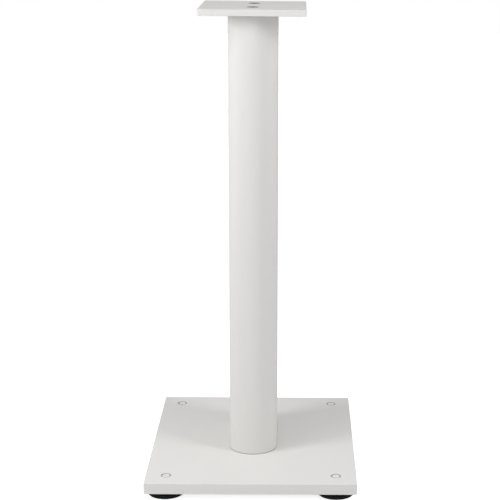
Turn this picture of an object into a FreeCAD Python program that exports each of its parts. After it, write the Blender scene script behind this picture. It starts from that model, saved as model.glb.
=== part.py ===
import FreeCAD, Part
import math
import os

# Free-standing speaker stand: a flat oval column between two plates, on four levelling feet.
#
# Millimetres. +Z is up, the front faces -Y, and the origin lies on the floor under the middle
# of the base plate. Every separate piece is written to its own STEP file, in its own place.

# ---------------------------------------------------------------- driving dimensions

# Base plate
BASE_WIDTH = 266.0
BASE_DEPTH = 308.0
BASE_THICKNESS = 14.0

# Column: a flat oval tube with full round ends, its long way front to back
COLUMN_WIDTH = 62.0
COLUMN_DEPTH = 120.0
COLUMN_WALL = 3.0
COLUMN_LENGTH = 569.0
COLUMN_END_CHAMFER = 0.5

# Screw ports inside the column, each on a web from side to side
PORT_SPACING = 64.0
PORT_WALL = 3.2
PORT_WEB = 3.0

# Top plate
TOP_WIDTH = 132.0
TOP_DEPTH = 150.0
TOP_THICKNESS = 8.0

# Edge finish of both plates
PLATE_CORNER_RADIUS = 2.0
PLATE_EDGE_RADIUS = 0.6

# Countersunk screws that hold the column between the plates
SCREW_RADIUS = 4.0
SCREW_HEAD_RADIUS = 7.8
SCREW_HEAD_RIM = 0.5
SCREW_KEY_WIDTH = 5.0
SCREW_KEY_DEPTH = 3.0
SCREW_GRIP_IN_PORT = 22.0
SCREW_POINT_CHAMFER = 1.0

# Threaded bushes pressed into the base plate, one over each foot
BUSH_RADIUS = 6.6
BUSH_INSET_X = 26.0
BUSH_INSET_Y = 26.0
BUSH_RIM_CHAMFER = 0.2

# Levelling studs
STUD_RADIUS = 5.0
STUD_KEY_WIDTH = 3.0
STUD_KEY_DEPTH = 3.0
STUD_END_CHAMFER = 0.4
FLANGE_RADIUS = 8.5
FLANGE_THICKNESS = 2.6

# Foot cups, with the thrust disc and the rubber sole that go in from below
CUP_RADIUS = 23.0
CUP_ROOF = 2.5
CUP_TOP_ROUND = 4.5
CUP_LOWER_ROUND = 0.6
DISC_RADIUS = 12.0
DISC_THICKNESS = 1.2
SOLE_RADIUS = 20.0
SOLE_THICKNESS = 2.0
SOLE_STANDS_OUT = 0.8
SOLE_EDGE_ROUND = 0.4

# Clearances
SCREW_HOLE_CLEARANCE = 0.5
THREAD_CLEARANCE = 0.05
RUNNING_CLEARANCE = 0.08
FLANGE_CLEARANCE = 0.2
CUP_CLEARANCE = 0.3
DISC_CLEARANCE = 0.1
SOLE_CLEARANCE = 0.1
HEAD_SETBACK = 0.1
END_SETBACK = 0.2

# ---------------------------------------------------------------- levels worked out from them

SOLE_TOP = SOLE_THICKNESS
CUP_BOTTOM = SOLE_STANDS_OUT
DISC_TOP = SOLE_TOP + DISC_THICKNESS
FLANGE_BOTTOM = DISC_TOP + FLANGE_CLEARANCE
FLANGE_TOP = FLANGE_BOTTOM + FLANGE_THICKNESS
CAVITY_TOP = FLANGE_TOP + FLANGE_CLEARANCE
CUP_TOP = CAVITY_TOP + CUP_ROOF
BASE_BOTTOM = CUP_TOP + CUP_CLEARANCE
BASE_TOP = BASE_BOTTOM + BASE_THICKNESS
COLUMN_TOP = BASE_TOP + COLUMN_LENGTH
STAND_TOP = COLUMN_TOP + TOP_THICKNESS

UP = FreeCAD.Vector(0, 0, 1)
DOWN = FreeCAD.Vector(0, 0, -1)
OVERCUT = 1.0
HEX_SIDES = 6

CORNERS = {
    "front_left": (-1, -1),
    "front_right": (1, -1),
    "rear_left": (-1, 1),
    "rear_right": (1, 1),
}
ENDS = {"front": -1, "rear": 1}


def at(x, y, z):
    return FreeCAD.Vector(x, y, z)


def rod(radius, low, high, x=0.0, y=0.0):
    """An upright cylinder between two levels."""
    return Part.makeCylinder(radius, high - low, at(x, y, low), UP)


def level_edges(shape, level):
    """The edges of a shape that lie flat at one level."""
    flat = []
    for edge in shape.Edges:
        box = edge.BoundBox
        if abs(box.ZMin - level) < 1e-6 and abs(box.ZMax - level) < 1e-6:
            flat.append(edge)
    return flat


def upright_edges(shape):
    """The straight edges of a shape that run along Z."""
    upright = []
    for edge in shape.Edges:
        box = edge.BoundBox
        if box.XLength < 1e-6 and box.YLength < 1e-6:
            upright.append(edge)
    return upright


def plate(width, depth, low, high):
    """A rectangular plate with eased corners and eased upper and lower rims."""
    thickness = high - low
    body = Part.makeBox(width, depth, thickness, at(-width / 2, -depth / 2, low))
    body = body.makeFillet(PLATE_CORNER_RADIUS, upright_edges(body))
    edge_radius = min(PLATE_EDGE_RADIUS, 0.45 * thickness)
    rims = level_edges(body, low) + level_edges(body, high)
    return body.makeFillet(edge_radius, rims)


def oval_prism(width, depth, low, high):
    """A solid with a flat oval section: two half circles joined by straight sides."""
    radius = width / 2
    straight = depth / 2 - radius
    right_front = at(radius, -straight, low)
    right_rear = at(radius, straight, low)
    left_rear = at(-radius, straight, low)
    left_front = at(-radius, -straight, low)
    outline = Part.Wire([
        Part.LineSegment(right_front, right_rear).toShape(),
        Part.Arc(right_rear, at(0, straight + radius, low), left_rear).toShape(),
        Part.LineSegment(left_rear, left_front).toShape(),
        Part.Arc(left_front, at(0, -straight - radius, low), right_front).toShape(),
    ])
    return Part.Face(outline).extrude(at(0, 0, high - low))


def hexagon_prism(width_across_flats, low, high):
    """A six-sided prism about the Z axis."""
    reach = width_across_flats / 2 / math.cos(math.pi / HEX_SIDES)
    points = []
    for side in range(HEX_SIDES + 1):
        angle = 2 * math.pi * side / HEX_SIDES
        points.append(at(reach * math.cos(angle), reach * math.sin(angle), low))
    return Part.Face(Part.makePolygon(points)).extrude(at(0, 0, high - low))


def head_depth():
    """Height of a screw's conical head, whose cone has a right angle at its tip."""
    return SCREW_HEAD_RADIUS - SCREW_RADIUS


def countersunk_screw(plate_thickness):
    """A screw whose head faces up, with the plate's outer face at level zero."""
    head_top = -HEAD_SETBACK
    cone_top = head_top - SCREW_HEAD_RIM
    cone_bottom = cone_top - head_depth()
    tip = -plate_thickness - SCREW_GRIP_IN_PORT
    rim = rod(SCREW_HEAD_RADIUS, cone_top, head_top)
    cone = Part.makeCone(SCREW_RADIUS, SCREW_HEAD_RADIUS, head_depth(), at(0, 0, cone_bottom), UP)
    shank = rod(SCREW_RADIUS, tip, cone_bottom)
    shank = shank.makeChamfer(SCREW_POINT_CHAMFER, level_edges(shank, tip))
    socket = hexagon_prism(SCREW_KEY_WIDTH, head_top - SCREW_KEY_DEPTH, head_top + OVERCUT)
    return rim.fuse([cone, shank]).removeSplitter().cut(socket)


def countersunk_hole(plate_thickness):
    """The space that a screw takes in a plate, with the plate's outer face at level zero."""
    cone_top = -HEAD_SETBACK - SCREW_HEAD_RIM
    cone_bottom = cone_top - head_depth()
    well = rod(SCREW_HEAD_RADIUS, cone_top, OVERCUT)
    cone = Part.makeCone(SCREW_RADIUS, SCREW_HEAD_RADIUS, head_depth(), at(0, 0, cone_bottom), UP)
    through = rod(SCREW_RADIUS + SCREW_HOLE_CLEARANCE, -plate_thickness - OVERCUT, OVERCUT)
    return well.fuse([cone, through])


def placed_up(shape, y, level):
    """A copy of a shape whose level zero is set at a level, head up."""
    moved = shape.copy()
    moved.translate(at(0, y, level))
    return moved


def placed_down(shape, y, level):
    """A copy of a shape turned over, head down, with its level zero set at a level."""
    moved = shape.copy()
    moved.rotate(at(0, 0, 0), at(1, 0, 0), 180)
    moved.translate(at(0, y, level))
    return moved


def port_place(end_sign):
    """Distance of a screw port from the middle of the column, front to back."""
    return end_sign * PORT_SPACING / 2


def corner_place(corner_signs):
    """Where the axis of a corner's bush, stud and foot stands."""
    x = corner_signs[0] * (BASE_WIDTH / 2 - BUSH_INSET_X)
    y = corner_signs[1] * (BASE_DEPTH / 2 - BUSH_INSET_Y)
    return x, y


def base_plate():
    body = plate(BASE_WIDTH, BASE_DEPTH, BASE_BOTTOM, BASE_TOP)
    cuts = []
    for signs in CORNERS.values():
        x, y = corner_place(signs)
        cuts.append(rod(BUSH_RADIUS, BASE_BOTTOM - OVERCUT, BASE_TOP + OVERCUT, x, y))
    for sign in ENDS.values():
        cuts.append(placed_down(countersunk_hole(BASE_THICKNESS), port_place(sign), BASE_BOTTOM))
    return body.cut(cuts)


def top_plate():
    body = plate(TOP_WIDTH, TOP_DEPTH, COLUMN_TOP, STAND_TOP)
    cuts = []
    for sign in ENDS.values():
        cuts.append(placed_up(countersunk_hole(TOP_THICKNESS), port_place(sign), STAND_TOP))
    return body.cut(cuts)


def column():
    """The oval tube with its two screw ports, all one extruded piece."""
    outer = oval_prism(COLUMN_WIDTH, COLUMN_DEPTH, BASE_TOP, COLUMN_TOP)
    rims = level_edges(outer, BASE_TOP) + level_edges(outer, COLUMN_TOP)
    outer = outer.makeChamfer(COLUMN_END_CHAMFER, rims)
    inner_width = COLUMN_WIDTH - 2 * COLUMN_WALL
    inner_depth = COLUMN_DEPTH - 2 * COLUMN_WALL
    hollow = oval_prism(inner_width, inner_depth, BASE_TOP - OVERCUT, COLUMN_TOP + OVERCUT)
    tube = outer.cut(hollow)
    bore_radius = SCREW_RADIUS + THREAD_CLEARANCE
    ports = []
    bores = []
    for sign in ENDS.values():
        y = port_place(sign)
        web = Part.makeBox(COLUMN_WIDTH, PORT_WEB, COLUMN_LENGTH,
                           at(-COLUMN_WIDTH / 2, y - PORT_WEB / 2, BASE_TOP))
        boss = rod(bore_radius + PORT_WALL, BASE_TOP, COLUMN_TOP, 0, y)
        ports.append(web.fuse(boss).common(hollow))
        bores.append(rod(bore_radius, BASE_TOP - OVERCUT, COLUMN_TOP + OVERCUT, 0, y))
    return tube.fuse(ports).removeSplitter().cut(bores)


def bush():
    """A threaded bush about the Z axis, a hair under the plate's upper face."""
    high = BASE_TOP - END_SETBACK
    body = rod(BUSH_RADIUS, BASE_BOTTOM, high)
    body = body.makeChamfer(BUSH_RIM_CHAMFER, level_edges(body, high))
    bore_radius = STUD_RADIUS + RUNNING_CLEARANCE
    return body.cut(rod(bore_radius, BASE_BOTTOM - OVERCUT, BASE_TOP + OVERCUT))


def foot_stud():
    """A levelling stud about the Z axis: shank, key socket above and captive flange below."""
    high = BASE_TOP - END_SETBACK
    shank = rod(STUD_RADIUS, FLANGE_BOTTOM, high)
    shank = shank.makeChamfer(STUD_END_CHAMFER, level_edges(shank, high))
    flange = rod(FLANGE_RADIUS, FLANGE_BOTTOM, FLANGE_TOP)
    socket = hexagon_prism(STUD_KEY_WIDTH, high - STUD_KEY_DEPTH, high + OVERCUT)
    return shank.fuse(flange).removeSplitter().cut(socket)


def foot_cup():
    """A round cup about the Z axis, open below, that the stud's flange turns in."""
    body = rod(CUP_RADIUS, CUP_BOTTOM, CUP_TOP)
    wall = CUP_TOP - CUP_BOTTOM
    top_round = min(CUP_TOP_ROUND, 0.6 * wall)
    lower_round = min(CUP_LOWER_ROUND, 0.3 * wall)
    body = body.makeFillet(top_round, level_edges(body, CUP_TOP))
    body = body.makeFillet(lower_round, level_edges(body, CUP_BOTTOM))
    sole_pocket = rod(SOLE_RADIUS + SOLE_CLEARANCE, CUP_BOTTOM - OVERCUT, SOLE_TOP)
    disc_pocket = rod(DISC_RADIUS + DISC_CLEARANCE, SOLE_TOP - OVERCUT, DISC_TOP)
    cavity = rod(FLANGE_RADIUS + FLANGE_CLEARANCE, DISC_TOP - OVERCUT, CAVITY_TOP)
    neck = rod(STUD_RADIUS + RUNNING_CLEARANCE, CAVITY_TOP - OVERCUT, CUP_TOP + OVERCUT)
    return body.cut([sole_pocket, disc_pocket, cavity, neck])


def foot_disc():
    """The hard disc under the stud's flange."""
    return rod(DISC_RADIUS, SOLE_TOP, DISC_TOP)


def foot_sole():
    """The soft sole that meets the floor."""
    body = rod(SOLE_RADIUS, 0.0, SOLE_TOP)
    return body.makeFillet(SOLE_EDGE_ROUND, level_edges(body, 0.0))


def all_pieces():
    """Every piece of the stand by name, each in its place."""
    pieces = {
        "base_plate": base_plate(),
        "column": column(),
        "top_plate": top_plate(),
    }
    top_screw = countersunk_screw(TOP_THICKNESS)
    base_screw = countersunk_screw(BASE_THICKNESS)
    for end, sign in ENDS.items():
        pieces["top_screw_" + end] = placed_up(top_screw, port_place(sign), STAND_TOP)
        pieces["base_screw_" + end] = placed_down(base_screw, port_place(sign), BASE_BOTTOM)
    corner_pieces = {
        "bush": bush(),
        "foot_stud": foot_stud(),
        "foot_cup": foot_cup(),
        "foot_disc": foot_disc(),
        "foot_sole": foot_sole(),
    }
    for corner, signs in CORNERS.items():
        x, y = corner_place(signs)
        for kind, shape in corner_pieces.items():
            moved = shape.copy()
            moved.translate(at(x, y, 0))
            pieces[kind + "_" + corner] = moved
    return pieces


os.makedirs("parts", exist_ok=True)
for node, piece in all_pieces().items():
    piece.exportStep("parts/" + node + ".step")
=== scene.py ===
import logging
import math
from dataclasses import dataclass
from enum import Enum

import bmesh
import bpy
from mathutils import Matrix, Vector


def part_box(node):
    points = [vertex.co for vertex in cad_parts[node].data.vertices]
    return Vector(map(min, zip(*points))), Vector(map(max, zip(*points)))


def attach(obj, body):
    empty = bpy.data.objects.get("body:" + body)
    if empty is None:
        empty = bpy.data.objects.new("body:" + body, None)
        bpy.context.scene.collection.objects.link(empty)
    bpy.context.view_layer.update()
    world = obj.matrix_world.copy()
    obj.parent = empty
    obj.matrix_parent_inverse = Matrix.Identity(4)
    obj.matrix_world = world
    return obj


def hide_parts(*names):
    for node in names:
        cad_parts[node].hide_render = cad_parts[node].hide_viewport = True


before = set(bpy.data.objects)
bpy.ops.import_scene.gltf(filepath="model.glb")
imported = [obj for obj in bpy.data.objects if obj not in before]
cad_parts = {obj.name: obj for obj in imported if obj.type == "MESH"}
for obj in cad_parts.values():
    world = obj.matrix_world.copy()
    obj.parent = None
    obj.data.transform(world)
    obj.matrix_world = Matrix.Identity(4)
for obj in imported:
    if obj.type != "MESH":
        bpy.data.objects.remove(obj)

LOG = logging.getLogger("speaker_stand")
MM = 0.001
SHARP_ANGLE = math.radians(32.0)
# Distances in metres within which corners become one, lie at a height, or touch a cutting plane.
FINE_WELD = 1e-7
WELD = 1e-6
NEAR = 2e-6
PLANE_REACH = 1e-8
# How far a flat face dips or rises towards its middle, in millimetres. Two loops in one plane would leave
# open which way round the faces between them run.
DISH = 0.02
# A hexagonal key socket: its sides, and the width of the slope at its mouth in millimetres.
KEY_SIDES = 6
KEY_LIP = 0.2
# A thread's outline over one pitch: whether the corner is on the crest, and its share of the pitch.
THREAD_OUTLINE = ((False, 0.0), (False, 4 / 16), (True, 9 / 16), (True, 11 / 16), (False, 1.0))
THREAD_RUN_IN = 1.5
THREAD_SPARE_TURNS = 3
# Where the colour mix node keeps its factor, its two colours and its result.
MIX_FACTOR, MIX_UNDER, MIX_OVER, MIX_RESULT = 0, 6, 7, 2
NODE_STEP = 190.0
# The range that most of a noise texture's values lie in.
NOISE_LOW, NOISE_HIGH = 0.3, 0.7

Colour = tuple[float, float, float, float]
Point = tuple[float, float, float]


# ---------------------------------------------------------------- named options


class Slot(Enum):
    """The material slots of the stand's record."""

    WHITE_COAT = "white_coat"
    BLACK_STEEL = "black_steel"
    DARK_STEEL = "dark_steel"
    BRIGHT_STEEL = "bright_steel"
    BLACK_PLASTIC = "black_plastic"
    BLACK_RUBBER = "black_rubber"


class Corner(Enum):
    """The four corners of the base plate."""

    FRONT_LEFT = "front_left"
    FRONT_RIGHT = "front_right"
    REAR_LEFT = "rear_left"
    REAR_RIGHT = "rear_right"


class End(Enum):
    """The two ends of the column's oval, where the screws stand."""

    FRONT = "front"
    REAR = "rear"


class HeadFacing(Enum):
    """Which way a countersunk screw's head looks."""

    UP = "top_screw"
    DOWN = "base_screw"


# ---------------------------------------------------------------- node trees


class NodeSheet:
    """A node tree with short ways to add and join nodes."""

    def __init__(self, tree: bpy.types.NodeTree) -> None:
        """Keep the tree that nodes are added to.

        Args:
            tree: A material's, world's or group's node tree, emptied first.
        """
        self.tree = tree
        self.tree.nodes.clear()
        self.place = 0.0

    def add(self, kind: str, inputs: dict[str, object] | None = None, **settings: object) -> bpy.types.Node:
        """Add a node.

        Args:
            kind: The node's type name.
            inputs: Values for its input sockets by name.
            settings: Values for its own properties.

        Returns:
            The new node.
        """
        node = self.tree.nodes.new(kind)
        node.location = (self.place, 0.0)
        self.place += NODE_STEP
        for key, value in settings.items():
            setattr(node, key, value)
        for key, value in (inputs or {}).items():
            node.inputs[key].default_value = value
        return node

    def join(self, start: bpy.types.NodeSocket, end: bpy.types.NodeSocket) -> None:
        """Link an output socket to an input socket."""
        self.tree.links.new(start, end)

    def math(self, operation: str, first: object, second: object = 0.0,
             third: object = 0.0) -> bpy.types.NodeSocket:
        """Add a Math node.

        Args:
            operation: Its operation.
            first: Number or socket for the first input.
            second: Number or socket for the second input.
            third: Number or socket for the third input.

        Returns:
            Its output socket.
        """
        node = self.add("ShaderNodeMath", operation=operation)
        for index, value in enumerate((first, second, third)):
            if isinstance(value, bpy.types.NodeSocket):
                self.join(value, node.inputs[index])
            else:
                node.inputs[index].default_value = value
        return node.outputs[0]


class ShadeGroup(NodeSheet):
    """A shader node group with named inputs and outputs."""

    def __init__(self, name: str, inputs: dict[str, tuple[str, object]], outputs: dict[str, str]) -> None:
        """Make the empty group.

        Args:
            name: The group's name.
            inputs: Socket type and default by input name.
            outputs: Socket type by output name.
        """
        tree = bpy.data.node_groups.new(name, "ShaderNodeTree")
        super().__init__(tree)
        for socket_name, (kind, value) in inputs.items():
            socket = tree.interface.new_socket(name=socket_name, in_out="INPUT", socket_type=kind)
            if value is not None:
                socket.default_value = value
        for socket_name, kind in outputs.items():
            tree.interface.new_socket(name=socket_name, in_out="OUTPUT", socket_type=kind)
        self.given = self.add("NodeGroupInput").outputs
        self.result = self.add("NodeGroupOutput").inputs

    def noise(self, size: str, detail: float, roughness: float) -> bpy.types.NodeSocket:
        """Add a noise over the group's Vector.

        Args:
            size: The input that holds the size of its patches.
            detail: How many finer layers it has.
            roughness: How much the finer layers count.

        Returns:
            The noise's value.
        """
        noise = self.add("ShaderNodeTexNoise", {"Detail": detail, "Roughness": roughness})
        self.join(self.given["Vector"], noise.inputs["Vector"])
        self.join(self.math("DIVIDE", 1.0, self.given[size]), noise.inputs["Scale"])
        return noise.outputs[0]

    def fade_out(self, distance: bpy.types.NodeSocket) -> None:
        """Give the Mask one at no distance, falling to zero at the Band.

        Args:
            distance: How far a point is from where the mask is one.
        """
        fade = self.add("ShaderNodeMapRange", {"To Min": 1.0, "To Max": 0.0}, interpolation_type="SMOOTHSTEP")
        self.join(distance, fade.inputs["Value"])
        self.join(self.given["Band"], fade.inputs["From Max"])
        self.join(fade.outputs[0], self.result["Mask"])


FLOAT = "NodeSocketFloat"
VECTOR = "NodeSocketVector"
COLOUR = "NodeSocketColor"


@dataclass(frozen=True)
class SharedEffects:
    """The node groups that more than one finish uses."""

    coat_ripple: bpy.types.NodeTree
    tone_drift: bpy.types.NodeTree
    gloss_drift: bpy.types.NodeTree
    turned_rings: bpy.types.NodeTree
    plate_rim: bpy.types.NodeTree
    joint_line: bpy.types.NodeTree

    @classmethod
    def build(cls) -> "SharedEffects":
        """Make every shared node group once.

        Returns:
            The groups by name.
        """
        return cls(
            coat_ripple=cls._coat_ripple(),
            tone_drift=cls._tone_drift(),
            gloss_drift=cls._gloss_drift(),
            turned_rings=cls._turned_rings(),
            plate_rim=cls._plate_rim(),
            joint_line=cls._joint_line(),
        )

    @staticmethod
    def _coat_ripple() -> bpy.types.NodeTree:
        """The soft ripple and the fine grain of a surface, as a height.

        Returns:
            The node group.
        """
        group = ShadeGroup(
            "coat_ripple",
            {"Vector": (VECTOR, None), "Ripple Size": (FLOAT, 0.0012), "Grain Size": (FLOAT, 0.0003),
             "Grain Share": (FLOAT, 0.3)},
            {"Height": FLOAT},
        )
        ripple = group.noise("Ripple Size", 1.0, 0.5)
        step = group.math("SUBTRACT", group.noise("Grain Size", 2.0, 0.5), ripple)
        group.join(group.math("MULTIPLY_ADD", step, group.given["Grain Share"], ripple), group.result["Height"])
        return group.tree

    @staticmethod
    def _tone_drift() -> bpy.types.NodeTree:
        """A colour that drifts a little lighter and darker over the surface.

        Returns:
            The node group.
        """
        group = ShadeGroup(
            "tone_drift",
            {"Vector": (VECTOR, None), "Color": (COLOUR, (0.8, 0.8, 0.8, 1.0)), "Patch Size": (FLOAT, 0.05),
             "Amount": (FLOAT, 0.02)},
            {"Color": COLOUR},
        )
        swing = group.math("MULTIPLY", group.math("SUBTRACT", group.noise("Patch Size", 3.0, 0.6), 0.5), 2.0)
        level = group.math("MULTIPLY_ADD", swing, group.given["Amount"], 1.0)
        scale = group.add("ShaderNodeVectorMath", operation="SCALE")
        group.join(group.given["Color"], scale.inputs[0])
        group.join(level, scale.inputs["Scale"])
        group.join(scale.outputs[0], group.result["Color"])
        return group.tree

    @staticmethod
    def _gloss_drift() -> bpy.types.NodeTree:
        """A roughness that drifts between two values over the surface.

        Returns:
            The node group.
        """
        group = ShadeGroup(
            "gloss_drift",
            {"Vector": (VECTOR, None), "Patch Size": (FLOAT, 0.03), "Smoothest": (FLOAT, 0.4),
             "Roughest": (FLOAT, 0.5)},
            {"Roughness": FLOAT},
        )
        spread = group.add("ShaderNodeMapRange", {"From Min": NOISE_LOW, "From Max": NOISE_HIGH})
        group.join(group.noise("Patch Size", 4.0, 0.65), spread.inputs["Value"])
        group.join(group.given["Smoothest"], spread.inputs["To Min"])
        group.join(group.given["Roughest"], spread.inputs["To Max"])
        group.join(spread.outputs[0], group.result["Roughness"])
        return group.tree

    @staticmethod
    def _turned_rings() -> bpy.types.NodeTree:
        """The fine rings that a lathe tool or a mould leaves round an axis, as a height.

        Returns:
            The node group, whose Vector counts from the axis.
        """
        group = ShadeGroup(
            "turned_rings",
            {"Vector": (VECTOR, None), "Ring Pitch": (FLOAT, 0.0004), "Unevenness": (FLOAT, 0.4)},
            {"Height": FLOAT},
        )
        parts = group.add("ShaderNodeSeparateXYZ")
        group.join(group.given["Vector"], parts.inputs[0])
        across = group.math("MULTIPLY", parts.outputs["X"], parts.outputs["X"])
        reach = group.math("SQRT", group.math("MULTIPLY_ADD", parts.outputs["Y"], parts.outputs["Y"], across))
        turns = group.math("DIVIDE", group.math("ADD", reach, parts.outputs["Z"]), group.given["Ring Pitch"])
        wave = group.math("SINE", group.math("MULTIPLY", turns, 2.0 * math.pi))
        noise = group.add("ShaderNodeTexNoise", {"Scale": 1500.0, "Detail": 2.0})
        group.join(group.given["Vector"], noise.inputs["Vector"])
        uneven = group.math("MULTIPLY", noise.outputs[0], group.given["Unevenness"])
        group.join(group.math("MULTIPLY_ADD", wave, 0.5, uneven), group.result["Height"])
        return group.tree

    @staticmethod
    def _plate_rim() -> bpy.types.NodeTree:
        """A mask for a painted highlight along a rectangular plate's rim: one at the rim, falling to zero inside
        it.

        Returns:
            The node group, whose Vector counts from the plate's middle.
        """
        group = ShadeGroup(
            "plate_rim",
            {"Vector": (VECTOR, None), "Half Width": (FLOAT, 0.1), "Half Depth": (FLOAT, 0.1),
             "Band": (FLOAT, 0.002)},
            {"Mask": FLOAT},
        )
        parts = group.add("ShaderNodeSeparateXYZ")
        group.join(group.given["Vector"], parts.inputs[0])
        side = group.math("SUBTRACT", group.given["Half Width"], group.math("ABSOLUTE", parts.outputs["X"]))
        front = group.math("SUBTRACT", group.given["Half Depth"], group.math("ABSOLUTE", parts.outputs["Y"]))
        group.fade_out(group.math("MINIMUM", side, front))
        return group.tree

    @staticmethod
    def _joint_line() -> bpy.types.NodeTree:
        """A mask for painted contact shade: one at a level, falling to zero above and below it.

        Returns:
            The node group.
        """
        group = ShadeGroup("joint_line", {"Vector": (VECTOR, None), "Level": (FLOAT, 0.0), "Band": (FLOAT, 0.001)},
                           {"Mask": FLOAT})
        parts = group.add("ShaderNodeSeparateXYZ")
        group.join(group.given["Vector"], parts.inputs[0])
        group.fade_out(group.math("ABSOLUTE", group.math("SUBTRACT", parts.outputs["Z"], group.given["Level"])))
        return group.tree


# ---------------------------------------------------------------- finishes


class FinishSheet(NodeSheet):
    """A material's node tree with its shader, its output and the shared effects at hand."""

    def __init__(self, name: str, effects: SharedEffects, centre: Point = (0.0, 0.0, 0.0)) -> None:
        """Make the material with an empty Principled shader.

        Args:
            name: The material's name.
            effects: The shared node groups.
            centre: The point that the patterns are counted from.
        """
        self.material = bpy.data.materials.new(name)
        self.material.use_nodes = True
        super().__init__(self.material.node_tree)
        self.effects = effects
        coordinates = self.add("ShaderNodeTexCoord")
        mapping = self.add("ShaderNodeMapping", {"Location": tuple(-c for c in centre)})
        self.join(coordinates.outputs["Object"], mapping.inputs["Vector"])
        self.where = mapping.outputs["Vector"]
        self.shader = self.add("ShaderNodeBsdfPrincipled")
        output = self.add("ShaderNodeOutputMaterial")
        self.join(self.shader.outputs["BSDF"], output.inputs["Surface"])

    def effect(self, tree: bpy.types.NodeTree, **values: object) -> bpy.types.Node:
        """Place a shared group that reads the piece's own coordinates.

        Args:
            tree: The group.
            values: Input values, with the socket's name in lower case and underscores.

        Returns:
            The group node.
        """
        node = self.add("ShaderNodeGroup", node_tree=tree)
        self.join(self.where, node.inputs["Vector"])
        for key, value in values.items():
            node.inputs[key.replace("_", " ").title()].default_value = value
        return node

    def set(self, **values: object) -> None:
        """Set constant values on the shader's own sockets.

        Args:
            values: Values with the socket's name in lower case and underscores.
        """
        for key, value in values.items():
            self.shader.inputs[_socket_name(key)].default_value = value

    def feed(self, name: str, socket: bpy.types.NodeSocket) -> None:
        """Join a socket to one of the shader's inputs."""
        self.join(socket, self.shader.inputs[name])

    def blend(self, mask: bpy.types.NodeSocket, under: bpy.types.NodeSocket, over: Colour) -> bpy.types.NodeSocket:
        """Lay a plain colour over another where a mask is one.

        Args:
            mask: The mask, from 0 to 1.
            under: The colour below.
            over: The plain colour.

        Returns:
            The blended colour's socket.
        """
        mix = self.add("ShaderNodeMix", data_type="RGBA")
        mix.inputs[MIX_OVER].default_value = over
        self.join(mask, mix.inputs[MIX_FACTOR])
        self.join(under, mix.inputs[MIX_UNDER])
        return mix.outputs[MIX_RESULT]

    def raise_by(self, height: bpy.types.NodeSocket, depth: float) -> None:
        """Turn a height into the surface's normal.

        Args:
            height: A height from 0 to 1.
            depth: What a height of 1 stands for, in metres.
        """
        bump = self.add("ShaderNodeBump", {"Strength": 1.0, "Distance": depth})
        self.join(height, bump.inputs["Height"])
        self.feed("Normal", bump.outputs["Normal"])


def _socket_name(key: str) -> str:
    """The shader's socket name for a lower-case key, such as "Specular IOR Level"."""
    return key.replace("_", " ").title().replace("Ior", "IOR")


@dataclass(frozen=True)
class WhiteCoat:
    """Satin white powder coat on the plates and the column, with a painted highlight along the plates' rims and
    painted contact shade at the column's two ends.
    """

    colour: Colour = (0.832, 0.819, 0.800, 1.0)
    # a lighter painted highlight along the plates' rims, and dark painted contact shade where the column meets each
    # plate
    rim_highlight_colour: Colour = (0.852, 0.840, 0.824, 1.0)
    contact_shade_colour: Colour = (0.30, 0.29, 0.28, 1.0)
    contact_shade_band: float = 0.0016
    rim_highlight_band: float = 0.0016
    tone_patch: float = 0.07
    tone_drift: float = 0.012
    gloss_patch: float = 0.02
    grain_share: float = 0.35
    smoothest: float = 0.54
    roughest: float = 0.64
    specular: float = 0.4
    ripple_size: float = 0.0016
    grain_size: float = 0.0004
    ripple_depth: float = 0.000012

    def build(self, name: str, effects: SharedEffects, half_width: float, half_depth: float,
              shade_levels: tuple[float, ...] = ()) -> bpy.types.Material:
        """Make the coat for one piece.

        Args:
            name: The material's name.
            effects: The shared node groups.
            half_width: Half the piece's size from left to right.
            half_depth: Half the piece's size from front to back.
            shade_levels: Heights of the painted contact shade lines where the piece meets another, dark bands that
                stand in for the shadow in the crevice there.

        Returns:
            The material.
        """
        sheet = FinishSheet(name, effects)
        sheet.set(specular_ior_level=self.specular)
        drift = sheet.effect(effects.tone_drift, color=self.colour, patch_size=self.tone_patch,
                             amount=self.tone_drift)
        # painted highlight: the coat is lighter along the plates' rims, where the edges catch the light
        rim = sheet.effect(effects.plate_rim, half_width=half_width, half_depth=half_depth, band=self.rim_highlight_band)
        coloured = sheet.blend(rim.outputs["Mask"], drift.outputs["Color"], self.rim_highlight_colour)
        # painted shade: a dark band at each level where the column meets a plate, standing in for the contact
        # shadow in the crevice
        for level in shade_levels:
            line = sheet.effect(effects.joint_line, level=level, band=self.contact_shade_band)
            coloured = sheet.blend(line.outputs["Mask"], coloured, self.contact_shade_colour)
        sheet.feed("Base Color", coloured)
        gloss = sheet.effect(effects.gloss_drift, patch_size=self.gloss_patch, smoothest=self.smoothest,
                             roughest=self.roughest)
        sheet.feed("Roughness", gloss.outputs["Roughness"])
        ripple = sheet.effect(effects.coat_ripple, ripple_size=self.ripple_size, grain_size=self.grain_size,
                              grain_share=self.grain_share)
        sheet.raise_by(ripple.outputs["Height"], self.ripple_depth)
        return sheet.material


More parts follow.
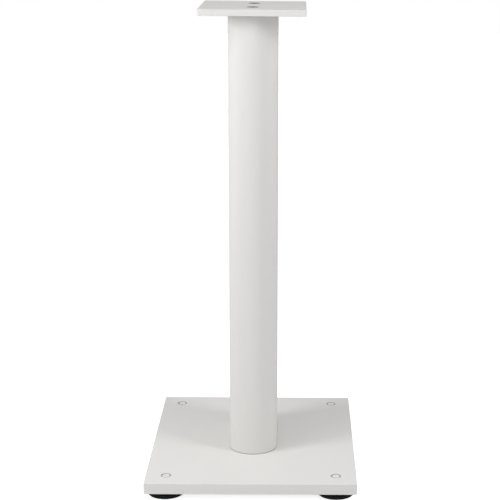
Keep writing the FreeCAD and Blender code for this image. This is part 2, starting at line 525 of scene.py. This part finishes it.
@dataclass(frozen=True)
class Steel:
    """A metal finish, from black oxide to bright zinc, with the rings that turning leaves."""

    colour: Colour
    metallic: float
    smoothest: float
    roughest: float
    ring_pitch: float = 0.00045
    ring_depth: float = 0.000006
    drift: float = 0.08
    specular: float = 0.5
    tone_patch: float = 0.003
    gloss_patch: float = 0.002
    ring_unevenness: float = 0.5

    def build(self, name: str, effects: SharedEffects, centre: Point) -> bpy.types.Material:
        """Make the finish for a piece turned about an upright axis.

        Args:
            name: The material's name.
            effects: The shared node groups.
            centre: A point on the piece's axis.

        Returns:
            The material.
        """
        sheet = FinishSheet(name, effects, centre)
        sheet.set(metallic=self.metallic, specular_ior_level=self.specular)
        tone = sheet.effect(effects.tone_drift, color=self.colour, patch_size=self.tone_patch, amount=self.drift)
        sheet.feed("Base Color", tone.outputs["Color"])
        gloss = sheet.effect(effects.gloss_drift, patch_size=self.gloss_patch, smoothest=self.smoothest,
                             roughest=self.roughest)
        sheet.feed("Roughness", gloss.outputs["Roughness"])
        rings = sheet.effect(effects.turned_rings, ring_pitch=self.ring_pitch,
                             unevenness=self.ring_unevenness)
        sheet.raise_by(rings.outputs["Height"], self.ring_depth)
        return sheet.material


@dataclass(frozen=True)
class BlackMoulding:
    """Black plastic or rubber straight from its mould."""

    colour: Colour
    smoothest: float
    roughest: float
    grain_size: float
    grain_depth: float
    specular: float = 0.5
    tone_patch: float = 0.006
    tone_drift: float = 0.15
    gloss_patch: float = 0.004
    grain_share: float = 0.7
    ripple_to_grain: float = 3.0

    def build(self, name: str, effects: SharedEffects, centre: Point) -> bpy.types.Material:
        """Make the finish for one foot's piece.

        Args:
            name: The material's name.
            effects: The shared node groups.
            centre: A point on the foot's axis.

        Returns:
            The material.
        """
        sheet = FinishSheet(name, effects, centre)
        sheet.set(specular_ior_level=self.specular)
        tone = sheet.effect(effects.tone_drift, color=self.colour, patch_size=self.tone_patch,
                            amount=self.tone_drift)
        sheet.feed("Base Color", tone.outputs["Color"])
        gloss = sheet.effect(effects.gloss_drift, patch_size=self.gloss_patch, smoothest=self.smoothest,
                             roughest=self.roughest)
        sheet.feed("Roughness", gloss.outputs["Roughness"])
        grain = sheet.effect(effects.coat_ripple, ripple_size=self.ripple_to_grain * self.grain_size,
                             grain_size=self.grain_size, grain_share=self.grain_share)
        sheet.raise_by(grain.outputs["Height"], self.grain_depth)
        return sheet.material


BLACK_OXIDE = Steel(colour=(0.013, 0.013, 0.013, 1.0), metallic=0.2, smoothest=0.38, roughest=0.5, specular=0.2)
PHOSPHATE_STEEL = Steel(colour=(0.42, 0.415, 0.405, 1.0), metallic=0.3, smoothest=0.40, roughest=0.52)
ZINC_STEEL = Steel(colour=(0.94, 0.94, 0.93, 1.0), metallic=0.12, smoothest=0.40, roughest=0.52)
CUP_PLASTIC = BlackMoulding(colour=(0.0045, 0.0045, 0.005, 1.0), smoothest=0.34, roughest=0.44,
                            grain_size=0.00035, grain_depth=0.00001, specular=0.16)
SOLE_RUBBER = BlackMoulding(colour=(0.017, 0.017, 0.017, 1.0), smoothest=0.72, roughest=0.86,
                            grain_size=0.0006, grain_depth=0.00003, specular=0.35)


# ---------------------------------------------------------------- mesh tools


def lathe(bm: bmesh.types.BMesh, outline: list[tuple[float, float]], segments: int, closed: bool = False) -> None:
    """Spin an outline round the Z axis.

    Args:
        bm: The mesh to add to.
        outline: Radius and height of each corner, in millimetres.
        segments: Steps round the axis.
        closed: Whether the last corner joins the first.
    """
    corners = [bm.verts.new((radius * MM, 0.0, height * MM)) for radius, height in outline]
    edges = [bm.edges.new(pair) for pair in zip(corners, corners[1:])]
    if closed:
        edges.append(bm.edges.new((corners[-1], corners[0])))
    bmesh.ops.spin(bm, geom=corners + edges, cent=(0, 0, 0), axis=(0, 0, 1), dvec=(0, 0, 0),
                   angle=2.0 * math.pi, steps=segments, use_merge=True, use_duplicate=False)
    bmesh.ops.remove_doubles(bm, verts=bm.verts, dist=FINE_WELD)


def ring_edges(bm: bmesh.types.BMesh, radius: float, height: float) -> list[bmesh.types.BMEdge]:
    """The edges that run round the Z axis at one radius and height.

    Args:
        bm: The mesh to search.
        radius: Radius in millimetres.
        height: Height in millimetres.

    Returns:
        The edges of that ring.
    """
    def on_ring(vert: bmesh.types.BMVert) -> bool:
        """Whether a vertex lies on the ring."""
        return abs(vert.co.xy.length - radius * MM) < NEAR and abs(vert.co.z - height * MM) < NEAR

    return [edge for edge in bm.edges if all(on_ring(vert) for vert in edge.verts)]


def round_ring(bm: bmesh.types.BMesh, radius: float, height: float, size: float, segments: int) -> None:
    """Round or chamfer the rim at one radius and height.

    Args:
        bm: The mesh to change.
        radius: The rim's radius in millimetres.
        height: The rim's height in millimetres.
        size: How far the round reaches from the rim, in millimetres.
        segments: Faces across the round, with 1 for a chamfer.
    """
    bmesh.ops.bevel(bm, geom=ring_edges(bm, radius, height), offset=size * MM, offset_type="OFFSET",
                    affect="EDGES", segments=segments, profile=0.5, material=-1, clamp_overlap=True)


def open_edges(bm: bmesh.types.BMesh, height: float) -> list[bmesh.types.BMEdge]:
    """The open edges of a mesh that lie at one height.

    Args:
        bm: The mesh to search.
        height: Height in millimetres.

    Returns:
        The edges with one face or none.
    """
    return [edge for edge in bm.edges
            if len(edge.link_faces) < 2 and all(abs(vert.co.z - height * MM) < NEAR for vert in edge.verts)]


def circle_edges(bm: bmesh.types.BMesh, radius: float, height: float, segments: int) -> list[bmesh.types.BMEdge]:
    """Add a loop of edges round the Z axis.

    Args:
        bm: The mesh to add to.
        radius: Radius of its corners in millimetres.
        height: Height in millimetres.
        segments: Number of edges.

    Returns:
        The loop's edges.
    """
    made = bmesh.ops.create_circle(bm, cap_ends=False, radius=radius * MM, segments=segments,
                                   matrix=Matrix.Translation((0, 0, height * MM)))
    found = set()
    for vert in made["verts"]:
        found.update(vert.link_edges)
    return list(found)


def cut_thread(bm: bmesh.types.BMesh, crest: float, root: float, pitch: float, low: float, high: float,
               segments: int) -> None:
    """Wind one pitch of a screw thread up round the Z axis, cut level at both ends.

    Args:
        bm: The mesh to add to.
        crest: Radius at the thread's crest in millimetres.
        root: Radius at its root in millimetres.
        pitch: Rise of one turn in millimetres.
        low: Height of its lower end in millimetres.
        high: Height of its upper end in millimetres.
        segments: Steps in one turn.
    """
    start = low - THREAD_RUN_IN * pitch
    corners = [bm.verts.new(((crest if on_crest else root) * MM, 0.0, (start + rise * pitch) * MM))
               for on_crest, rise in THREAD_OUTLINE]
    edges = [bm.edges.new(pair) for pair in zip(corners, corners[1:])]
    bmesh.ops.spin(bm, geom=corners + edges, cent=(0, 0, 0), axis=(0, 0, 1),
                   dvec=(0, 0, pitch * MM / segments), angle=2.0 * math.pi, steps=segments,
                   use_merge=False, use_duplicate=False)
    one_turn = bm.verts[:] + bm.edges[:] + bm.faces[:]
    for turn in range(1, math.ceil((high - low) / pitch) + THREAD_SPARE_TURNS):
        copied = bmesh.ops.duplicate(bm, geom=one_turn)["geom"]
        bmesh.ops.translate(bm, verts=[g for g in copied if isinstance(g, bmesh.types.BMVert)],
                            vec=(0, 0, turn * pitch * MM))
    bmesh.ops.remove_doubles(bm, verts=bm.verts, dist=WELD)
    for height, side in ((low, -1.0), (high, 1.0)):
        bmesh.ops.bisect_plane(bm, geom=bm.verts[:] + bm.edges[:] + bm.faces[:], dist=PLANE_REACH,
                               plane_co=(0, 0, height * MM), plane_no=(0, 0, side), clear_outer=True)
    bmesh.ops.remove_doubles(bm, verts=bm.verts, dist=NEAR)


def sink_key_socket(bm: bmesh.types.BMesh, mouth: list[bmesh.types.BMEdge], width: float, level: float,
                    depth: float) -> None:
    """Close a round mouth with a level face that has a hexagonal key socket in it.

    Args:
        bm: The mesh to change.
        mouth: The round loop that the face starts from.
        width: The key's width across its flats in millimetres.
        level: Height of the face in millimetres.
        depth: Depth of the socket in millimetres.
    """
    reach = width / 2.0 / math.cos(math.pi / KEY_SIDES)
    lip = circle_edges(bm, reach + KEY_LIP, level - DISH, KEY_SIDES)
    bmesh.ops.bridge_loops(bm, edges=mouth + lip)
    wall = circle_edges(bm, reach, level - KEY_LIP, KEY_SIDES)
    bmesh.ops.bridge_loops(bm, edges=lip + wall)
    sunk = bmesh.ops.extrude_edge_only(bm, edges=wall)["geom"]
    bmesh.ops.translate(bm, verts=[g for g in sunk if isinstance(g, bmesh.types.BMVert)],
                        vec=(0, 0, (KEY_LIP - depth) * MM))
    floor = [edge for edge in sunk if isinstance(edge, bmesh.types.BMEdge)
             and all(abs(vert.co.z - (level - depth) * MM) < NEAR for vert in edge.verts)]
    bmesh.ops.edgeloop_fill(bm, edges=floor)


def publish(bm: bmesh.types.BMesh, name: str, material: bpy.types.Material, body: str, slot: Slot,
            *nodes: str) -> bpy.types.Object:
    """Turn a finished mesh into a piece of the stand.

    Args:
        bm: The mesh, in its place in metres.
        name: The piece's name.
        material: Its finish.
        body: The body that it rides on.
        slot: Not used.
        nodes: The solids that it stands for.

    Returns:
        The new object.
    """
    bmesh.ops.recalc_face_normals(bm, faces=bm.faces)
    mesh = bpy.data.meshes.new(name)
    bm.to_mesh(mesh)
    bm.free()
    mesh.shade_smooth()
    mesh.set_sharp_from_angle(angle=SHARP_ANGLE)
    mesh.materials.append(material)
    piece = bpy.data.objects.new(name, mesh)
    bpy.context.scene.collection.objects.link(piece)
    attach(piece, body)
    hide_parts(*nodes)
    LOG.info("%s: %d faces, rides on %s", name, len(mesh.polygons), body)
    return piece


def dress_node(node: str, material: bpy.types.Material) -> None:
    """Give a solid of the frame its finish.

    Args:
        node: The solid's name.
        material: Its finish.
    """
    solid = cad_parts[node]
    if not solid.material_slots:
        solid.data.materials.append(material)
    for place in solid.material_slots:
        place.material = material
    LOG.info("%s: keeps its own solid", node)


def axis_of(node: str) -> Vector:
    """The middle of a solid, in metres."""
    low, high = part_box(node)
    return (low + high) / 2.0


def level_of(node: str, top: bool = False) -> float:
    """Height of a solid's lower or upper face, in millimetres."""
    low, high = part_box(node)
    return (high.z if top else low.z) / MM


# ---------------------------------------------------------------- sub-assemblies


@dataclass(frozen=True)
class CoatedFrame:
    """The base plate, the column and the top plate, all under one white coat."""

    coat: WhiteCoat = WhiteCoat()

    def dress(self, effects: SharedEffects) -> None:
        """Coat the three solids.

        Args:
            effects: The shared node groups.
        """
        for node in ("base_plate", "column", "top_plate"):
            low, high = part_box(node)
            half = (high - low) / 2.0
            # the column gets painted contact shade at its two ends, where it meets the plates, and no painted rim
            # highlight, so its rim band lies outside it
            spare, shade_levels = (1.0, (low.z, high.z)) if node == "column" else (0.0, ())
            dress_node(node, self.coat.build(f"white_coat_{node}", effects, half.x + spare, half.y + spare, shade_levels))


@dataclass(frozen=True)
class CountersunkScrews:
    """The four socket screws that hold the column between the plates. Sizes in millimetres."""

    head_radius: float = 7.8
    head_rim: float = 0.5
    shank_radius: float = 4.0
    thread_root: float = 3.4
    thread_pitch: float = 1.25
    key_width: float = 5.0
    key_depth: float = 3.0
    mouth_radius: float = 3.6
    point_radius: float = 3.0
    point_taper: float = 0.8
    neck_length: float = 0.8
    thread_to_cone: float = 1.2
    cone_edge: float = 0.06
    head_edge: float = 0.12
    segments: int = 64

    def build(self, effects: SharedEffects) -> None:
        """Make all four screws.

        Args:
            effects: The shared node groups.
        """
        for facing in HeadFacing:
            for end in End:
                self._screw(f"{facing.value}_{end.value}", facing, effects)

    def _screw(self, node: str, facing: HeadFacing, effects: SharedEffects) -> None:
        """Make one screw in its place.

        Args:
            node: The solid that it stands for.
            facing: Which way its head looks.
            effects: The shared node groups.
        """
        low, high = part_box(node)
        length = (high.z - low.z) / MM
        bm = bmesh.new()
        neck = -self.head_rim - (self.head_radius - self.shank_radius)
        tip = -length
        cut_thread(bm, self.shank_radius, self.thread_root, self.thread_pitch, tip + self.point_taper,
                   neck - self.thread_to_cone, self.segments)
        self._close_point(bm, tip)
        self._close_head(bm, neck)
        bmesh.ops.remove_doubles(bm, verts=bm.verts, dist=WELD)
        if facing is HeadFacing.DOWN:
            bmesh.ops.rotate(bm, verts=bm.verts, cent=(0, 0, 0), matrix=Matrix.Rotation(math.pi, 3, "X"))
        head_level = high.z if facing is HeadFacing.UP else low.z
        middle = axis_of(node)
        bmesh.ops.translate(bm, verts=bm.verts, vec=(middle.x, middle.y, head_level))
        material = BLACK_OXIDE.build(f"black_oxide_{node}", effects, (middle.x, middle.y, head_level))
        publish(bm, f"{node}_threaded", material, "stand", Slot.BLACK_STEEL, node)

    def _close_point(self, bm: bmesh.types.BMesh, tip: float) -> None:
        """Taper the thread's lower end to a flat point.

        Args:
            bm: The screw's mesh.
            tip: Height of the point in millimetres.
        """
        ring = circle_edges(bm, self.point_radius, tip, self.segments)
        bmesh.ops.bridge_loops(bm, edges=open_edges(bm, tip + self.point_taper) + ring)
        bmesh.ops.edgeloop_fill(bm, edges=ring)

    def _close_head(self, bm: bmesh.types.BMesh, neck: float) -> None:
        """Add the neck, the cone, the rim and the socket.

        Args:
            bm: The screw's mesh.
            neck: Height of the cone's lower end in millimetres.
        """
        loops = [(self.shank_radius, neck - self.neck_length), (self.shank_radius, neck),
                 (self.head_radius - self.cone_edge, -self.head_rim),
                 (self.head_radius, -self.head_rim + self.cone_edge), (self.head_radius, -self.head_edge),
                 (self.head_radius - self.head_edge, 0.0), (self.mouth_radius, -DISH)]
        before = open_edges(bm, neck - self.thread_to_cone)
        for radius, height in loops:
            ring = circle_edges(bm, radius, height, self.segments)
            bmesh.ops.bridge_loops(bm, edges=before + ring)
            before = ring
        sink_key_socket(bm, before, self.key_width, -DISH, self.key_depth)


@dataclass(frozen=True)
class LevellingCorner:
    """A corner's bush, stud, cup and sole. Sizes in millimetres."""

    bush_radius: float = 6.6
    bush_bore: float = 5.08
    bush_rim: float = 0.2
    bush_lead_in: float = 0.12
    stud_radius: float = 5.0
    thread_root: float = 4.15
    thread_pitch: float = 1.5
    end_chamfer: float = 0.4
    key_width: float = 3.0
    key_depth: float = 3.0
    flange_radius: float = 8.5
    flange_thickness: float = 2.6
    flange_edge: float = 0.3
    thread_relief: float = 1.0
    cup_radius: float = 23.0
    cup_shoulder: float = 4.5
    cup_foot_round: float = 0.6
    cup_neck_round: float = 0.3
    pocket_edge: float = 0.15
    sole_pocket: float = 20.1
    sole_pocket_depth: float = 1.2
    disc_pocket: float = 12.1
    disc_pocket_depth: float = 1.2
    flange_pocket: float = 8.7
    flange_pocket_depth: float = 3.0
    sole_radius: float = 20.0
    groove_radii: tuple[float, ...] = (5.0, 9.5, 14.0)
    groove_width: float = 1.2
    groove_depth: float = 0.5
    groove_edge: float = 0.12
    sole_round: float = 0.4
    segments: int = 96

    def build(self, corner: Corner, effects: SharedEffects) -> None:
        """Make a corner's pieces.

        Args:
            corner: Which corner.
            effects: The shared node groups.
        """
        self._bush(corner, effects)
        self._stud(corner, effects)
        self._cup(corner, effects)
        self._sole(corner, effects)
        disc = f"foot_disc_{corner.value}"
        dress_node(disc, ZINC_STEEL.build(f"zinc_{disc}", effects, tuple(axis_of(disc))))

    def _set_down(self, bm: bmesh.types.BMesh, node: str) -> Point:
        """Move a mesh from the Z axis to its corner.

        Args:
            bm: The mesh.
            node: The solid that stands in that corner.

        Returns:
            A point on the corner's axis.
        """
        middle = axis_of(node)
        bmesh.ops.translate(bm, verts=bm.verts, vec=(middle.x, middle.y, 0.0))
        return (middle.x, middle.y, 0.0)

    def _bush(self, corner: Corner, effects: SharedEffects) -> None:
        """Make the steel bush in the plate, with a rounded rim and chamfered lead-ins.

        Args:
            corner: Which corner.
            effects: The shared node groups.
        """
        node = f"bush_{corner.value}"
        low, high = level_of(node), level_of(node, top=True)
        bm = bmesh.new()
        outer, bore = self.bush_radius, self.bush_bore
        lathe(bm, [(bore, low), (outer, low), (outer, high), (bore, high)], self.segments, closed=True)
        round_ring(bm, outer, high, self.bush_rim, 2)
        for height in (high, low):
            round_ring(bm, bore, height, self.bush_lead_in, 1)
        centre = self._set_down(bm, node)
        material = PHOSPHATE_STEEL.build(f"phosphate_{node}", effects, centre)
        publish(bm, f"{node}_turned", material, "stand", Slot.DARK_STEEL, node)

    def _stud(self, corner: Corner, effects: SharedEffects) -> None:
        """Make the threaded stud with its key socket above and its flange below.

        Args:
            corner: Which corner.
            effects: The shared node groups.
        """
        node = f"foot_stud_{corner.value}"
        low, high = level_of(node), level_of(node, top=True)
        flange_top = low + self.flange_thickness
        thread_low = flange_top + self.thread_relief
        thread_top = high - self.end_chamfer
        steps = self.segments // 2
        outer, edge = self.flange_radius, self.flange_edge
        bm = bmesh.new()
        cut_thread(bm, self.stud_radius, self.thread_root, self.thread_pitch, thread_low, thread_top, steps)
        before = open_edges(bm, thread_low)
        for radius, height in ((self.thread_root, flange_top + DISH), (outer - edge, flange_top),
                               (outer, flange_top - edge), (outer, low + edge), (outer - edge, low)):
            ring = circle_edges(bm, radius, height, steps)
            bmesh.ops.bridge_loops(bm, edges=before + ring)
            before = ring
        bmesh.ops.edgeloop_fill(bm, edges=before)
        rim = circle_edges(bm, self.stud_radius - self.end_chamfer, high, steps)
        bmesh.ops.bridge_loops(bm, edges=open_edges(bm, thread_top) + rim)
        sink_key_socket(bm, rim, self.key_width, high, self.key_depth)
        bmesh.ops.remove_doubles(bm, verts=bm.verts, dist=WELD)
        centre = self._set_down(bm, node)
        material = ZINC_STEEL.build(f"zinc_{node}", effects, centre)
        publish(bm, f"{node}_threaded", material, f"stud_{corner.value}", Slot.BRIGHT_STEEL, node)

    def _cup(self, corner: Corner, effects: SharedEffects) -> None:
        """Make the moulded cup with its stepped pockets and rounded shoulder.

        Args:
            corner: Which corner.
            effects: The shared node groups.
        """
        node = f"foot_cup_{corner.value}"
        low, high = level_of(node), level_of(node, top=True)
        sole_step = low + self.sole_pocket_depth
        disc_step = sole_step + self.disc_pocket_depth
        roof = disc_step + self.flange_pocket_depth
        neck = self.bush_bore
        bm = bmesh.new()
        lathe(bm, [(neck, high), (self.cup_radius, high), (self.cup_radius, low), (self.sole_pocket, low),
                   (self.sole_pocket, sole_step), (self.disc_pocket, sole_step), (self.disc_pocket, disc_step),
                   (self.flange_pocket, disc_step), (self.flange_pocket, roof), (neck, roof)],
              self.segments, closed=True)
        round_ring(bm, self.cup_radius, high, self.cup_shoulder, 10)
        round_ring(bm, self.cup_radius, low, self.cup_foot_round, 4)
        round_ring(bm, self.sole_pocket, low, self.pocket_edge, 1)
        round_ring(bm, neck, high, self.cup_neck_round, 2)
        centre = self._set_down(bm, node)
        material = CUP_PLASTIC.build(f"black_plastic_{node}", effects, centre)
        publish(bm, f"{node}_moulded", material, f"foot_{corner.value}", Slot.BLACK_PLASTIC, node)

    def _sole(self, corner: Corner, effects: SharedEffects) -> None:
        """Make the rubber sole with round grooves in its tread.

        Args:
            corner: Which corner.
            effects: The shared node groups.
        """
        node = f"foot_sole_{corner.value}"
        low, high = level_of(node), level_of(node, top=True)
        outline = [(0.0, high), (self.sole_radius, high), (self.sole_radius, low)]
        for radius in reversed(self.groove_radii):
            outline += [(radius + self.groove_width, low), (radius + self.groove_width, low + self.groove_depth),
                        (radius, low + self.groove_depth), (radius, low)]
        outline.append((0.0, low))
        bm = bmesh.new()
        lathe(bm, outline, self.segments)
        round_ring(bm, self.sole_radius, low, self.sole_round, 3)
        for radius in self.groove_radii:
            round_ring(bm, radius, low, self.groove_edge, 1)
            round_ring(bm, radius + self.groove_width, low, self.groove_edge, 1)
        centre = self._set_down(bm, node)
        material = SOLE_RUBBER.build(f"black_rubber_{node}", effects, centre)
        publish(bm, f"{node}_grooved", material, f"foot_{corner.value}", Slot.BLACK_RUBBER, node)


# ---------------------------------------------------------------- studio


@dataclass(frozen=True)
class SoftLamp:
    """An upright soft box aimed at a point of the stand. Sizes in metres, power in watts."""

    name: str
    place: Point
    aim: Point
    width: float
    height: float
    power: float

    def build(self) -> None:
        """Hang the lamp."""
        data = bpy.data.lights.new(self.name, "AREA")
        data.shape = "RECTANGLE"
        data.size = self.width
        data.size_y = self.height
        data.energy = self.power
        lamp = bpy.data.objects.new(self.name, data)
        lamp.location = self.place
        lamp.rotation_mode = "QUATERNION"
        lamp.rotation_quaternion = (Vector(self.aim) - Vector(self.place)).to_track_quat("-Z", "Y")
        bpy.context.scene.collection.objects.link(lamp)
        LOG.info("%s: %.1f W", self.name, self.power)


@dataclass(frozen=True)
class Studio:
    """The pale floor, the lamps and the soft light from above.

    The light from above is given as brightness by the sine of its elevation. The floor's glow is seen by the
    camera alone and lights nothing.
    """

    lamps: tuple[SoftLamp, ...]
    sky: float
    sky_steps: tuple[tuple[float, float], ...] = ((0.13, 0.0), (0.17, 0.12), (0.46, 0.12), (0.54, 1.0), (0.81, 1.0),
                                                  (0.89, 0.0))
    floor_size: float = 12.0
    floor_colour: Colour = (0.86, 0.86, 0.86, 1.0)
    floor_glow: float = 0.78

    def build(self) -> None:
        """Set up the light and the floor."""
        for lamp in self.lamps:
            lamp.build()
        self._surroundings()
        self._floor()
        bpy.context.scene.view_settings.view_transform = "Standard"

    @staticmethod
    def _seen(sheet: NodeSheet) -> bpy.types.NodeSocket:
        """One where the camera looks, and zero for light that falls on the stand.

        Args:
            sheet: The node tree to add to.

        Returns:
            The mask's socket.
        """
        return sheet.add("ShaderNodeLightPath").outputs["Is Camera Ray"]

    def _elevation(self, sheet: NodeSheet) -> bpy.types.NodeSocket:
        """How bright the sky is in each direction.

        Args:
            sheet: The world's node tree.

        Returns:
            The brightness socket.
        """
        parts = sheet.add("ShaderNodeSeparateXYZ")
        sheet.join(sheet.add("ShaderNodeTexCoord").outputs["Generated"], parts.inputs[0])
        ramp = sheet.add("ShaderNodeValToRGB")
        stops = ramp.color_ramp.elements
        while len(stops) < len(self.sky_steps):
            stops.new(0.5)
        for stop, (sine, level) in zip(stops, self.sky_steps):
            stop.position = sine
            stop.color = (level, level, level, 1.0)
        sheet.join(parts.outputs["Z"], ramp.inputs[0])
        return sheet.math("MULTIPLY", ramp.outputs["Color"], self.sky)

    def _surroundings(self) -> None:
        """A band of soft light above the stand, with white behind everything that the camera sees."""
        world = bpy.data.worlds.new("studio")
        world.use_nodes = True
        bpy.context.scene.world = world
        sheet = NodeSheet(world.node_tree)
        light = sheet.add("ShaderNodeBackground", {"Color": (1.0, 1.0, 1.0, 1.0)})
        white = sheet.add("ShaderNodeBackground", {"Color": (1.0, 1.0, 1.0, 1.0), "Strength": 1.0})
        mix = sheet.add("ShaderNodeMixShader")
        output = sheet.add("ShaderNodeOutputWorld")
        sheet.join(self._elevation(sheet), light.inputs["Strength"])
        sheet.join(self._seen(sheet), mix.inputs[0])
        sheet.join(light.outputs[0], mix.inputs[1])
        sheet.join(white.outputs[0], mix.inputs[2])
        sheet.join(mix.outputs[0], output.inputs["Surface"])

    def _floor(self) -> None:
        """The pale floor under the feet, which reads as white to the camera around the stand's shadow."""
        bm = bmesh.new()
        bmesh.ops.create_grid(bm, x_segments=4, y_segments=4, size=self.floor_size / 2.0)
        mesh = bpy.data.meshes.new("studio_floor")
        bm.to_mesh(mesh)
        bm.free()
        material = bpy.data.materials.new("pale_floor")
        material.use_nodes = True
        sheet = NodeSheet(material.node_tree)
        matt = sheet.add("ShaderNodeBsdfDiffuse", {"Color": self.floor_colour})
        glow = sheet.add("ShaderNodeEmission", {"Color": (1.0, 1.0, 1.0, 1.0)})
        both = sheet.add("ShaderNodeAddShader")
        output = sheet.add("ShaderNodeOutputMaterial")
        sheet.join(sheet.math("MULTIPLY", self._seen(sheet), self.floor_glow), glow.inputs["Strength"])
        sheet.join(matt.outputs[0], both.inputs[0])
        sheet.join(glow.outputs[0], both.inputs[1])
        sheet.join(both.outputs[0], output.inputs["Surface"])
        mesh.materials.append(material)
        floor = bpy.data.objects.new("studio_floor", mesh)
        bpy.context.scene.collection.objects.link(floor)


@dataclass(frozen=True)
class StudioCamera:
    """The camera at the photograph's viewpoint.

    Place and clipping are in metres, angles in radians, the sensor in millimetres and the rest in pixels.
    """

    place: Point = (0.053333, -1.738476, 0.727360)
    yaw: float = 0.013021
    pitch: float = 0.239355
    roll: float = 0.009360
    focal: float = 1373.7067
    centre_x: float = 312.1693
    centre_y: float = 235.9998
    picture: float = 500.0
    sensor: float = 36.0
    nearest: float = 0.01
    farthest: float = 60.0

    def build(self) -> None:
        """Set the camera up and make it the scene's own."""
        ahead = Vector((math.sin(self.yaw) * math.cos(self.pitch), math.cos(self.yaw) * math.cos(self.pitch),
                        -math.sin(self.pitch)))
        level = Vector((math.cos(self.yaw), -math.sin(self.yaw), 0.0))
        upright = level.cross(ahead)
        right = math.cos(self.roll) * level + math.sin(self.roll) * upright
        up = math.cos(self.roll) * upright - math.sin(self.roll) * level
        data = bpy.data.cameras.new("studio_camera")
        data.sensor_width = self.sensor
        data.lens = self.focal / self.picture * self.sensor
        data.shift_x = (self.picture / 2.0 - self.centre_x) / self.picture
        data.shift_y = (self.centre_y - self.picture / 2.0) / self.picture
        data.clip_start, data.clip_end = self.nearest, self.farthest
        camera = bpy.data.objects.new("studio_camera", data)
        camera.matrix_world = Matrix.Translation(self.place) @ Matrix((right, up, -ahead)).transposed().to_4x4()
        bpy.context.scene.collection.objects.link(camera)
        bpy.context.scene.camera = camera


STUDIO = Studio(
    lamps=(
        SoftLamp("left_lamp", (-0.787, -0.436, 0.75), (0.0, 0.0, 0.525), 0.30, 0.30, 4.30),
        SoftLamp("left_high_lamp", (-0.590, -0.679, 1.20), (0.0, 0.0, 0.75), 0.30, 0.60, 1.54),
        SoftLamp("right_lamp", (0.772, -0.464, 0.90), (0.0, 0.0, 0.60), 0.30, 0.60, 3.85),
    ),
    sky=1.012,
)


def main() -> None:
    """Build the stand's pieces in order, then the studio."""
    logging.basicConfig(level=logging.INFO, format="%(name)s %(message)s")
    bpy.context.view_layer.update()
    StudioCamera().build()
    STUDIO.build()
    effects = SharedEffects.build()
    CoatedFrame().dress(effects)
    CountersunkScrews().build(effects)
    for corner in Corner:
        LevellingCorner().build(corner, effects)


if __name__ == "__main__":
    main()
